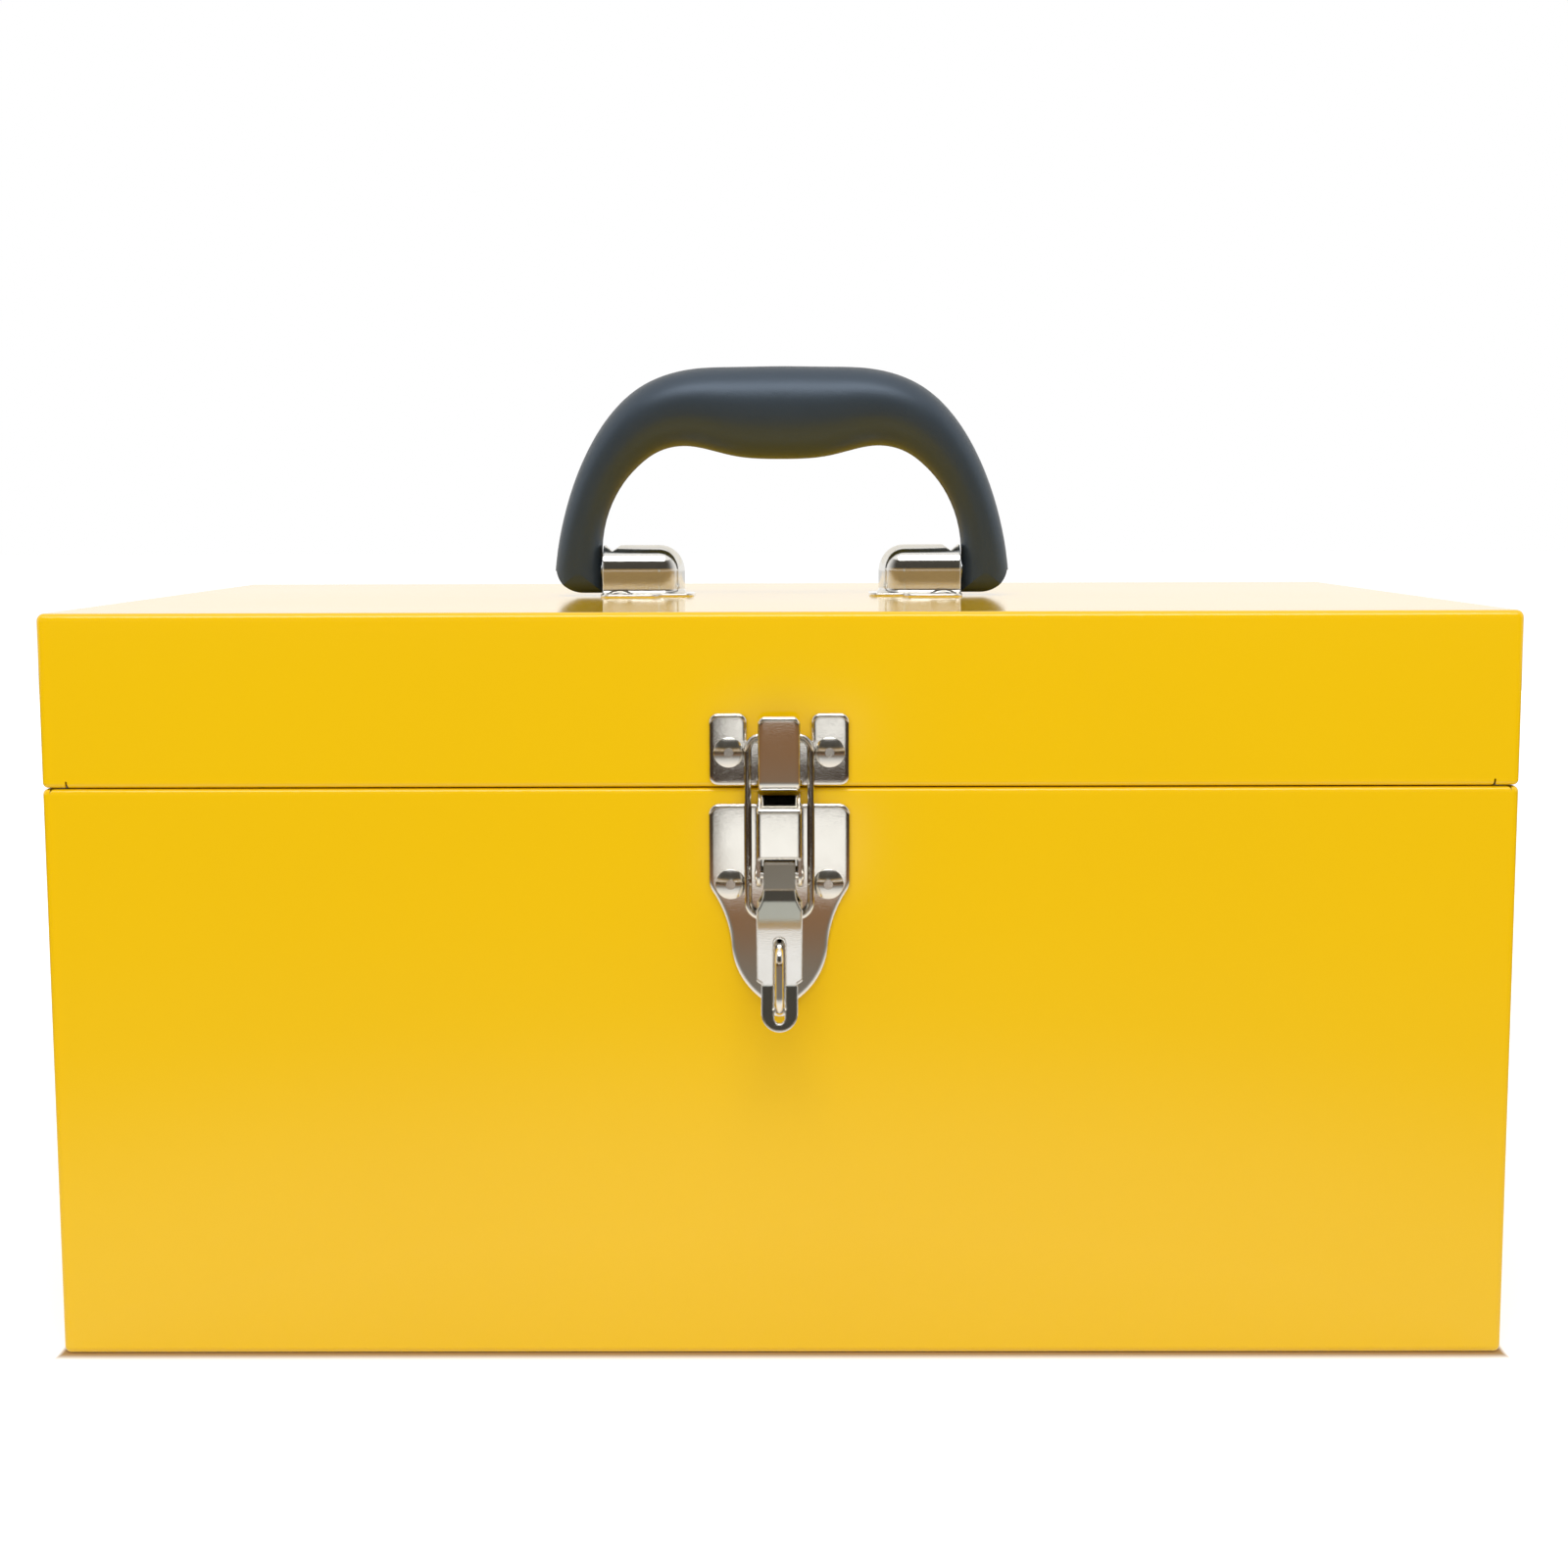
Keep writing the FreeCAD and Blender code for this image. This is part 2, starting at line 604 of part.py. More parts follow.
def keeper_plate():
    half = KEEPER_WIDTH / 2
    notch = KEEPER_NOTCH_WIDTH / 2
    relief = TONGUE_WIDTH / 2 + TONGUE_RELIEF
    outline = [
        (-half, KEEPER_BOTTOM), (-relief, KEEPER_BOTTOM), (-relief, TONGUE_FOLD_HEIGHT),
        (relief, TONGUE_FOLD_HEIGHT), (relief, KEEPER_BOTTOM), (half, KEEPER_BOTTOM),
        (half, KEEPER_TOP), (notch, KEEPER_TOP), (notch, SADDLE_TOP),
        (-notch, SADDLE_TOP), (-notch, KEEPER_TOP), (-half, KEEPER_TOP),
    ]
    plate = front_prism(outline, 0, PLATE_SHEET)
    corners = [(side * x, height) for side in SIDES
               for x, height in ((half, KEEPER_BOTTOM), (half, KEEPER_TOP), (notch, KEEPER_TOP))]
    plate = plate.makeFillet(KEEPER_CORNER, across_edges(plate, corners))
    rolled = [edge for edge in face_edges(plate, PLATE_SHEET)
              if abs(edge.CenterOfMass.x) > notch - PICK]
    plate = plate.makeFillet(PLATE_EDGE_RADIUS, rolled)
    half_saddle = SADDLE_WIDTH / 2
    saddle = side_prism([(0, SADDLE_BOTTOM), (PLATE_SHEET, SADDLE_BOTTOM),
                         (SADDLE_OUT, SADDLE_BOTTOM + SADDLE_SLOPE),
                         (SADDLE_OUT, SADDLE_TOP), (0, SADDLE_TOP)], -half_saddle, half_saddle)
    keeper = joined(plate, saddle, tongue())
    return keeper.cut([rivet_hole(place, Y_AXIS) for place in keeper_rivet_places()])


def latch_plate_outline():
    shoulder = (LATCH_PLATE_WIDTH / 2, -LATCH_SHOULDER_DROP)
    top = (LATCH_PLATE_WIDTH / 2, -LATCH_PLATE_TOP)
    waist = (LATCH_WAIST_WIDTH / 2, -LATCH_WAIST_DROP)
    tip = LATCH_TIP_WIDTH / 2
    slant = tip * math.sqrt(0.5)
    half = [
        front_line((0, -LATCH_PLATE_TOP), top),
        front_line(top, shoulder),
        bowed_edge(shoulder, waist, -LATCH_FLANK_SAG),
        bowed_edge(waist, (tip, -LATCH_TIP_DROP), LATCH_TIP_SAG),
        arc(front_point(tip, 0, -LATCH_TIP_DROP),
            front_point(slant, 0, -LATCH_TIP_DROP - slant), front_point(0, 0, -LATCH_TIP_DROP - tip)),
    ]
    return mirrored_outline(half)


def bridge_block():
    """Raised bridge: ramp, crest and flat roof over a hollow that is open at its lower end."""
    outside = BRIDGE_WIDTH / 2
    inside = outside - BRIDGE_SHEET
    face_line = [(BRIDGE_LIP_OUT, -BRIDGE_LIP_DROP), (BRIDGE_OUT, -BRIDGE_TOP_DROP),
                 (BRIDGE_OUT, -BRIDGE_END_DROP)]
    block = side_prism(face_line + [(0, -BRIDGE_END_DROP), (0, -BRIDGE_LIP_DROP)], -outside, outside)
    crest = [edge for edge in block.Edges if edge.BoundBox.XLength > outside
             and edge.BoundBox.YMax < FRONT - BRIDGE_OUT + PICK
             and edge.BoundBox.ZMin > SEAM - BRIDGE_TOP_DROP - PICK]
    block = block.makeFillet(BRIDGE_CREST_RADIUS, crest)
    sides = [edge for edge in face_edges(block, BRIDGE_OUT) if edge.BoundBox.XLength < PICK]
    block = block.makeFillet(BRIDGE_EDGE_RADIUS, sides)
    ramp_end, crest_in, roof_end = bent_strip(face_line, BRIDGE_SHEET)[:2:-1]
    below = -BRIDGE_END_DROP - BRIDGE_SHEET
    hollow = side_prism([ramp_end, crest_in, (roof_end[0], below), (0, below), (0, ramp_end[1])],
                        -inside, inside)
    return block.cut(hollow)


def bridge_cheek(x_from, x_to):
    """Side wall below the bridge, rounded round the lever pin."""
    pivot = -LEVER_PIVOT_DROP
    slant = BRIDGE_LUG_RADIUS * math.sqrt(0.5)
    front = LEVER_PIVOT_OUT + BRIDGE_LUG_RADIUS
    bottom = pivot - BRIDGE_LUG_RADIUS

    def spot(out, height):
        return front_point(x_from, out, height)

    corners = [spot(LEVER_PIVOT_OUT, bottom), spot(0, bottom), spot(0, -BRIDGE_END_DROP),
               spot(front, -BRIDGE_END_DROP), spot(front, pivot)]
    edges = [line(a, b) for a, b in zip(corners, corners[1:])]
    edges.append(arc(spot(front, pivot), spot(LEVER_PIVOT_OUT + slant, pivot - slant),
                     spot(LEVER_PIVOT_OUT, bottom)))
    return Part.Face(Part.Wire(edges)).extrude(V(x_to - x_from, 0, 0))


def lever_pin_hole():
    return rod_x(-BRIDGE_WIDTH, BRIDGE_WIDTH, FRONT - LEVER_PIVOT_OUT, SEAM - LEVER_PIVOT_DROP,
                 LEVER_BORE)


def latch_base_plate():
    plate = Part.Face(latch_plate_outline()).extrude(V(0, -PLATE_SHEET, 0)).removeSplitter()
    half = LATCH_PLATE_WIDTH / 2
    top_corners = [(side * half, -LATCH_PLATE_TOP) for side in SIDES]
    plate = plate.makeFillet(LATCH_PLATE_CORNER, across_edges(plate, top_corners))
    shoulders = [(side * half, -LATCH_SHOULDER_DROP) for side in SIDES]
    plate = plate.makeFillet(LATCH_SHOULDER_ROUND, across_edges(plate, shoulders))
    tips = [(side * LATCH_TIP_WIDTH / 2, -LATCH_TIP_DROP) for side in SIDES]
    plate = plate.makeFillet(LATCH_TIP_FILLET, across_edges(plate, tips))
    plate = plate.makeFillet(PLATE_EDGE_RADIUS, face_edges(plate, PLATE_SHEET))
    outside = BRIDGE_WIDTH / 2
    inside = outside - BRIDGE_SHEET
    plate = joined(plate, bridge_block(), bridge_cheek(-outside, -inside),
                   bridge_cheek(inside, outside))
    holes = [rivet_hole(place, Y_AXIS) for place in latch_rivet_places()]
    holes.append(lever_pin_hole())
    for drop in (STAPLE_TOP_DROP, STAPLE_FOOT_DROP):
        holes.append(Part.makeCylinder(STAPLE_RADIUS + RIVET_CLEARANCE, PLATE_SHEET,
                                       front_point(0, 0, -drop), -Y_AXIS))
    return plate.cut(holes)


def lever_pin():
    half = BRIDGE_WIDTH / 2
    y = FRONT - LEVER_PIVOT_OUT
    z = SEAM - LEVER_PIVOT_DROP
    head = LEVER_PIN_HEAD_DIAMETER / 2
    heads = []
    for side in SIDES:
        heads.append(Part.makeCone(head, head * LEVER_PIN_HEAD_TAPER, LEVER_PIN_HEAD_HEIGHT,
                                   V(side * half, y, z), X_AXIS * side))
    return joined(rod_x(-half, half, y, z, LEVER_PIN_DIAMETER / 2), *heads)


def lever_bends():
    """Places on the lever's front face where one run of it ends and the next begins: out, drop."""
    lean = math.radians(LEVER_NECK_LEAN)
    start = LEVER_PIVOT_OUT + LEVER_CURL / math.cos(lean)
    bends = [(start - (LEVER_PIVOT_DROP - LEVER_TOP_DROP) * math.tan(lean), LEVER_TOP_DROP)]
    for end_drop, lean_from, lean_to in LEVER_RUNS:
        out, drop = bends[-1]
        lean = math.radians(lean_from + lean_to) / 2
        bends.append((out + (end_drop - drop) * math.tan(lean), end_drop))
    return bends


def lever_section(x):
    """Side view of the lever's strip, with the sheet behind its front face."""
    bends = lever_bends()
    edges = []
    for start, end, (end_drop, lean_from, lean_to) in zip(bends, bends[1:], LEVER_RUNS):
        first = front_point(x, start[0], -start[1])
        last = front_point(x, end[0], -end[1])
        if lean_from == lean_to:
            edges.append(line(first, last))
            continue
        lean = math.radians(lean_from + lean_to) / 2
        bow = (last - first).Length / 2 * math.tan(math.radians(lean_from - lean_to) / 4)
        middle = (first + last) * 0.5 + V(0, -bow * math.cos(lean), bow * math.sin(lean))
        edges.append(arc(first, middle, last))
    return Part.Wire(edges).makeOffset2D(-LEVER_SHEET, 2, True, True)


def lever_plan():
    """Outline of the lever seen from the front."""
    neck = LEVER_NECK_WIDTH / 2
    body = LEVER_WIDTH / 2
    tab = LEVER_TAB_WIDTH / 2
    flare_end = -LEVER_FLARE_DROP - LEVER_FLARE_LENGTH
    shoulder_end = -LEVER_SHOULDER_DROP - LEVER_SHOULDER_LENGTH
    tab_round = tab - LEVER_TAB_DROP
    slant = tab * math.sqrt(0.5)
    half = [
        front_line((0, -LEVER_TOP_DROP), (neck, -LEVER_TOP_DROP)),
        front_line((neck, -LEVER_TOP_DROP), (neck, -LEVER_FLARE_DROP)),
        bowed_edge((neck, -LEVER_FLARE_DROP), (body, flare_end), -LEVER_FLARE_SAG),
        front_line((body, flare_end), (body, -LEVER_SHOULDER_DROP)),
        front_line((body, -LEVER_SHOULDER_DROP), (tab, shoulder_end)),
        front_line((tab, shoulder_end), (tab, tab_round)),
        arc(front_point(tab, 0, tab_round), front_point(slant, 0, tab_round - slant),
            front_point(0, 0, -LEVER_TAB_DROP)),
    ]
    return front_prism(Part.Face(mirrored_outline(half)), 0, STAPLE_OUT)


def lever_ear(x_from, x_to):
    """Web on the back of the lever with an eye for the lower bar of the loop."""
    swell_from, swell_to = lever_bends()[2:4]
    slope = (swell_to[0] - swell_from[0]) / (swell_to[1] - swell_from[1])
    top = LOOP_FOOT_DROP - LEVER_EAR_RADIUS
    bottom = LOOP_FOOT_DROP + LEVER_EAR_RADIUS
    sheet_out = swell_from[0] - LEVER_SHEET / 2
    eye = rod_x(x_from, x_to, FRONT - LOOP_FOOT_OUT, SEAM - LOOP_FOOT_DROP, LEVER_EAR_RADIUS)
    web = side_prism([(LOOP_FOOT_OUT, -top), (sheet_out + slope * (top - swell_from[1]), -top),
                      (sheet_out + slope * (bottom - swell_from[1]), -bottom),
                      (LOOP_FOOT_OUT, -bottom)], x_from, x_to)
    return eye.fuse(web)


def lever_slot():
    """Closed slot with round ends that passes the legs of the staple."""
    half = STAPLE_RADIUS + STAPLE_SIDE_CLEARANCE
    top = -LEVER_SLOT_TOP - half
    bottom = half - LEVER_SLOT_END
    slot = front_prism([(-half, top), (half, top), (half, bottom), (-half, bottom)], 0, STAPLE_OUT)
    ends = [Part.makeCylinder(half, STAPLE_OUT, front_point(0, 0, height), -Y_AXIS)
            for height in (top, bottom)]
    return slot.fuse(ends)


def latch_lever():
    half = LEVER_WIDTH / 2
    neck = LEVER_NECK_WIDTH / 2
    strip = lever_section(-half).extrude(V(LEVER_WIDTH, 0, 0)).common(lever_plan())
    curl = rod_x(-neck, neck, FRONT - LEVER_PIVOT_OUT, SEAM - LEVER_PIVOT_DROP, LEVER_CURL)
    ear_outer = LOOP_WIDTH / 2 - LOOP_RADIUS - LOOP_CORNER - LOOP_EAR_SIDE_GAP
    ear_inner = ear_outer - LEVER_EAR_SHEET
    lever = joined(strip, curl, lever_ear(-ear_outer, -ear_inner), lever_ear(ear_inner, ear_outer))
    loop_hole = rod_x(-half, half, FRONT - LOOP_FOOT_OUT, SEAM - LOOP_FOOT_DROP,
                      LOOP_RADIUS + LOOP_EAR_CLEARANCE)
    return lever.cut([lever_pin_hole(), loop_hole, lever_slot()])


def bent_wire(points, bend, radius):
    """Round wire along a polyline whose inner corners are bent to the given radius."""
    edges = []
    start = points[0]
    for before, corner, after in zip(points, points[1:], points[2:]):
        back = (before - corner).normalize()
        ahead = (after - corner).normalize()
        enter = corner + back * bend
        leave = corner + ahead * bend
        centre = enter + ahead * bend
        middle = centre + (corner - centre).normalize() * bend
        edges += [line(start, enter), arc(enter, middle, leave)]
        start = leave
    edges.append(line(start, points[-1]))
    section = Part.Wire(Part.makeCircle(radius, points[0], edges[0].tangentAt(0)))
    return Part.Wire(edges).makePipeShell([section], True, True)


def latch_loop():
    """Closed wire loop, its lower bar in the lever's ears and its upper bar over the keeper."""
    lean_out = LOOP_HEAD_OUT - LOOP_FOOT_OUT
    rise = LOOP_HEAD_HEIGHT + LOOP_FOOT_DROP
    length = math.hypot(lean_out, rise)
    half = LOOP_WIDTH / 2 - LOOP_RADIUS
    right = bent_wire([V(0, 0, 0), V(half, 0, 0), V(half, 0, length), V(0, 0, length)],
                      LOOP_CORNER, LOOP_RADIUS)
    loop = joined(right, mirrored_x(right))
    loop.rotate(V(0, 0, 0), X_AXIS, math.degrees(math.atan2(lean_out, rise)))
    return loop.translated(front_point(0, LOOP_FOOT_OUT, -LOOP_FOOT_DROP))


def padlock_staple():
    reach = STAPLE_OUT - STAPLE_RADIUS
    points = [front_point(0, STAPLE_ROOT, -STAPLE_TOP_DROP), front_point(0, reach, -STAPLE_TOP_DROP),
              front_point(0, reach, -STAPLE_FOOT_DROP), front_point(0, STAPLE_ROOT, -STAPLE_FOOT_DROP)]
    return bent_wire(points, STAPLE_BEND, STAPLE_RADIUS)


def hood(radius, mouth, floor):
    """Arched hood along X, open at the mouth and closed by a domed end."""
    dome_x = BRACKET_END + HOOD_OUTER
    wall = HANDLE_PIVOT_Z - floor
    arch = rod_x(dome_x, mouth, 0, HANDLE_PIVOT_Z, radius)
    sides = Part.makeBox(mouth - dome_x, 2 * radius, wall, V(dome_x, -radius, floor))
    dome = Part.makeSphere(radius, V(dome_x, 0, HANDLE_PIVOT_Z))
    skirt = Part.makeCylinder(radius, wall, V(dome_x, 0, floor))
    lower = Part.makeBox(4 * radius, 4 * radius, 2 * radius, V(dome_x - 2 * radius, -2 * radius,
                                                             floor - 2 * radius))
    return joined(arch, sides, dome, skirt).cut(lower)


def crimp(depth_shift):
    """Wedge pressed across the crown of the hood, behind the shoulder of the trunnion."""
    crown = HANDLE_PIVOT_Z + HOOD_OUTER - depth_shift
    half = CRIMP_WIDTH / 2
    flank = CRIMP_DEPTH + BRACKET_SHEET
    spread = half * flank / CRIMP_DEPTH
    section = polygon([V(CRIMP_X, -HOOD_OUTER, crown - CRIMP_DEPTH),
                       V(CRIMP_X + spread, -HOOD_OUTER, crown - CRIMP_DEPTH + flank),
                       V(CRIMP_X - spread, -HOOD_OUTER, crown - CRIMP_DEPTH + flank)])
    return section.extrude(V(0, 2 * HOOD_OUTER, 0))


def bracket_foot():
    """Foot of the bracket: an ear in front and behind for the rivets and a toe at the closed end."""
    ear = BRACKET_EAR_WIDTH / 2
    toe = BRACKET_TOE_WIDTH / 2
    plan = polygon([V(BRACKET_MOUTH, -ear, LID_TOP), V(BRACKET_MOUTH, ear, LID_TOP),
                    V(BRACKET_EAR_END, ear, LID_TOP), V(BRACKET_EAR_END, toe, LID_TOP),
                    V(BRACKET_TOE_END, toe, LID_TOP), V(BRACKET_TOE_END, -toe, LID_TOP),
                    V(BRACKET_EAR_END, -toe, LID_TOP), V(BRACKET_EAR_END, -ear, LID_TOP)])
    foot = plan.extrude(V(0, 0, BRACKET_SHEET))
    corners = [edge for edge in foot.Edges
               if edge.BoundBox.ZLength > BRACKET_SHEET / 2 and
               (edge.BoundBox.XMin < BRACKET_EAR_END - PICK or abs(edge.BoundBox.YMin) > toe + PICK)]
    return foot.makeFillet(BRACKET_FOOT_CORNER, corners)


def hood_foot_edges(bracket):
    """Edges where the walls of the hood meet the top of the foot."""
    level = LID_TOP + BRACKET_SHEET
    found = []
    for edge in bracket.Edges:
        box = edge.BoundBox
        if box.ZLength > PICK or abs(box.ZMin - level) > PICK:
            continue
        along_wall = abs(max(abs(box.YMin), abs(box.YMax)) - HOOD_OUTER) < PICK
        if along_wall and box.XMax > BRACKET_END + PICK:
            found.append(edge)
    return found


def handle_bracket():
    """Right-hand bracket: a pressed hood on a riveted foot."""
    outer = hood(HOOD_OUTER, BRACKET_MOUTH, LID_TOP).cut(crimp(0))
    hollow = hood(HOOD_INNER, LEG_INNER, LID_TOP - SHEET).cut(crimp(BRACKET_SHEET))
    bracket = joined(outer, bracket_foot())
    bracket = bracket.makeFillet(BRACKET_FOOT_FILLET, hood_foot_edges(bracket)).cut(hollow)
    holes = [rivet_hole(place, Z_AXIS) for place in bracket_rivet_places() if place.x > 0]
    return bracket.cut(holes)


def trunnion():
    """Right-hand trunnion: barrel in the hood, neck past the crimp and spigot in the leg."""
    barrel_from = BRACKET_END + BRACKET_SHEET + TRUNNION_DIAMETER / 2
    barrel_to = CRIMP_X - CRIMP_WIDTH / 2 - TRUNNION_SHOULDER_GAP
    barrel = rod_x(barrel_from, barrel_to, 0, HANDLE_PIVOT_Z, TRUNNION_DIAMETER / 2)
    neck = rod_x(barrel_from, LEG_INNER, 0, HANDLE_PIVOT_Z, TRUNNION_NECK_DIAMETER / 2)
    spigot = rod_x(barrel_from, LEG_INNER + SPIGOT_LENGTH, 0, HANDLE_PIVOT_Z, SPIGOT_DIAMETER / 2)
    return joined(barrel, neck, spigot)


def grip_section(outer_x, outer_rise, inner_x, inner_rise, depth):
    """Closed oval through the outer and the inner point of the grip."""
    outer = V(outer_x, 0, LID_TOP + outer_rise)
    inner = V(inner_x, 0, LID_TOP + inner_rise)
    centre = (outer + inner) * 0.5
    across = (outer - inner) * 0.5
    along = V(0, depth / 2, 0)
    points = []
    for step in range(SECTION_POINTS):
        angle = 2 * math.pi * step / SECTION_POINTS
        points.append(centre + across * math.cos(angle) + along * math.sin(angle))
    curve = Part.BSplineCurve()
    curve.interpolate(points, PeriodicFlag=True)
    return Part.Wire(curve.toShape())


def leg_toe():
    """What the foot of a leg keeps below the pivot: round about the pivot and at its outer corner."""
    radius = HANDLE_PIVOT_RISE - TOE_GAP
    length = LEG_OUTER - LEG_INNER + SHEET
    inner = LEG_INNER - SHEET
    toe = rod_x(inner, inner + length, 0, HANDLE_PIVOT_Z, radius)
    corner = Part.makeBox(length, 2 * radius, 2 * radius, V(inner, -radius, HANDLE_PIVOT_Z - radius))
    edges = [edge for edge in corner.Edges
             if edge.BoundBox.XMin > inner + length - PICK and
             edge.BoundBox.ZMax < HANDLE_PIVOT_Z - radius + PICK]
    return toe.common(corner.makeFillet(TOE_ROUND, edges))


def half_grip():
    """Right half of the grip, lofted a little past the middle so that the halves meet smoothly."""
    sections = [grip_section(*row) for row in GRIP_SECTIONS]
    for outer_x, outer_rise, inner_x, inner_rise, depth in GRIP_SECTIONS[-2:-7:-1]:
        sections.append(grip_section(-outer_x, outer_rise, -inner_x, inner_rise, depth))
    past_middle = Part.makeBox(LEG_OUTER, 2 * GRIP_DEPTH, 2 * GRIP_TOP_RISE,
                               V(-LEG_OUTER, -GRIP_DEPTH, LID_TOP))
    return Part.makeLoft(sections, True, False).cut(past_middle)


def handle_grip():
    inner = LEG_INNER - SHEET
    span = LEG_OUTER - LEG_INNER + 2 * SHEET
    below = Part.makeBox(span, 2 * LEG_DEPTH, 2 * HANDLE_PIVOT_RISE,
                         V(inner, -LEG_DEPTH, HANDLE_PIVOT_Z - 2 * HANDLE_PIVOT_RISE))
    hole = rod_x(inner, LEG_INNER + SPIGOT_LENGTH, 0, HANDLE_PIVOT_Z,
                 SPIGOT_DIAMETER / 2 + RIVET_CLEARANCE)
    spot_face = rod_x(inner - SHEET, LEG_INNER, 0, HANDLE_PIVOT_Z,
                      TRUNNION_NECK_DIAMETER / 2 + RIVET_CLEARANCE)
    right = half_grip().cut([below.cut(leg_toe()), hole, spot_face])
    return joined(right, mirrored_x(right))


PARTS = {
    "base_shell": base_shell(),
    "lid_shell": lid_shell(),
    "hinge_leaf_base": hinge_leaf_base(),
    "hinge_leaf_lid": hinge_leaf_lid(),
    "hinge_pin": hinge_pin(),
    "hinge_rivets_base": hinge_rivets(-HINGE_RIVET_STAGGER / 2, -HINGE_RIVET_OFFSET),
    "hinge_rivets_lid": hinge_rivets(HINGE_RIVET_STAGGER / 2, HINGE_RIVET_OFFSET),
    "keeper_plate": keeper_plate(),
    "keeper_rivets": plate_rivets(keeper_rivet_places()),
    "latch_base_plate": latch_base_plate(),
    "latch_base_rivets": plate_rivets(latch_rivet_places()),
    "latch_lever": latch_lever(),
    "latch_lever_pin": lever_pin(),
    "latch_loop": latch_loop(),
    "padlock_staple": padlock_staple(),
    "handle_bracket_right": handle_bracket(),
    "handle_bracket_left": mirrored_x(handle_bracket()),
    "handle_bracket_rivets": bracket_rivets(),
    "handle_trunnion_right": trunnion(),
    "handle_trunnion_left": mirrored_x(trunnion()),
    "handle_grip": handle_grip(),
}

os.makedirs("parts", exist_ok=True)
for name, shape in PARTS.items():
    print(name, "solids", len(shape.Solids), "valid", shape.isValid(), "volume", round(shape.Volume, 1))
    shape.exportStep("parts/" + name + ".step")
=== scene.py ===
import math
import bmesh
import bpy
from mathutils import Matrix, Vector


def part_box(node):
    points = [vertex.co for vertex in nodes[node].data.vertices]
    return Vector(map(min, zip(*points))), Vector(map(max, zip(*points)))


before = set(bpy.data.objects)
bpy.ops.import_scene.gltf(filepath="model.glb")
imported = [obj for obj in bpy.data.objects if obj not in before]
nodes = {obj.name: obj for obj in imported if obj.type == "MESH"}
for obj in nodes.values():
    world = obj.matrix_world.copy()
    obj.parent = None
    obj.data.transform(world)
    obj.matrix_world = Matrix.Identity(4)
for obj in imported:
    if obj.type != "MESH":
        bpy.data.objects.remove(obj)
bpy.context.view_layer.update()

# Camera of the photograph: place in metres, turns in radians
CAMERA_PLACE = (0.00498, -0.75531, 0.23318)
CAMERA_PITCH = -0.11624
CAMERA_YAW = 0.00588
CAMERA_ROLL = 0.00287
CAMERA_LENS_MM = 53.888
SENSOR_MM = 36.0

# Finishes, as linear colours
PAINT_YELLOW = (0.87, 0.53, 0.0015, 1.0)
PAINT_DEEP = (0.84, 0.50, 0.001, 1.0)
NICKEL_BRIGHT = (0.85, 0.83, 0.79, 1.0)
NICKEL_DULL = (0.77, 0.75, 0.70, 1.0)
ZINC_BRIGHT = (0.62, 0.64, 0.66, 1.0)
ZINC_DULL = (0.47, 0.49, 0.51, 1.0)
GRIP_GREY = (0.024, 0.034, 0.045, 1.0)
GRIP_WORN = (0.031, 0.042, 0.055, 1.0)
GRIP_SHEEN = (0.66, 0.80, 1.0, 1.0)

# Radii of the rounded edges in the shading, in metres
SHEET_EDGE = 0.0003
PRESSED_EDGE = 0.0010
EDGE_SAMPLES = 6


# Shader helpers
def add_node(tree, kind, **settings):
    made = tree.nodes.new(kind)
    for name, value in settings.items():
        setattr(made, name, value)
    return made


def set_inputs(node, **values):
    """Sets sockets by name, with spaces written as underscores."""
    for name, value in values.items():
        node.inputs[name.replace("_", " ")].default_value = value


def shader_group(name, inputs, outputs):
    """Empty node group with its sockets: returns the tree and its two end nodes."""
    tree = bpy.data.node_groups.new(name, "ShaderNodeTree")
    for label, kind, value in inputs:
        socket = tree.interface.new_socket(label, in_out="INPUT", socket_type=kind)
        socket.default_value = value
    for label, kind in outputs:
        tree.interface.new_socket(label, in_out="OUTPUT", socket_type=kind)
    return tree, add_node(tree, "NodeGroupInput"), add_node(tree, "NodeGroupOutput")


def noise(tree, vector, scale, detail):
    """Noise on a vector; scale is a number or a socket."""
    made = add_node(tree, "ShaderNodeTexNoise")
    tree.links.new(vector, made.inputs["Vector"])
    set_inputs(made, Detail=detail)
    if isinstance(scale, bpy.types.NodeSocket):
        tree.links.new(scale, made.inputs["Scale"])
    else:
        set_inputs(made, Scale=scale)
    return made.outputs["Fac"]


def remap(tree, value, low, high):
    """Value from 0..1 spread over low..high, given as numbers or sockets."""
    made = add_node(tree, "ShaderNodeMapRange")
    tree.links.new(value, made.inputs["Value"])
    for label, end in (("To Min", low), ("To Max", high)):
        if isinstance(end, bpy.types.NodeSocket):
            tree.links.new(end, made.inputs[label])
        else:
            made.inputs[label].default_value = end
    return made.outputs["Result"]


def mixed_colour(tree, factor, first, second):
    made = add_node(tree, "ShaderNodeMix", data_type="RGBA")
    tree.links.new(factor, made.inputs["Factor"])
    for label, colour in (("A", first), ("B", second)):
        socket = [s for s in made.inputs if s.name == label and s.type == "RGBA"][0]
        if isinstance(colour, bpy.types.NodeSocket):
            tree.links.new(colour, socket)
        else:
            socket.default_value = colour
    return [s for s in made.outputs if s.type == "RGBA"][0]


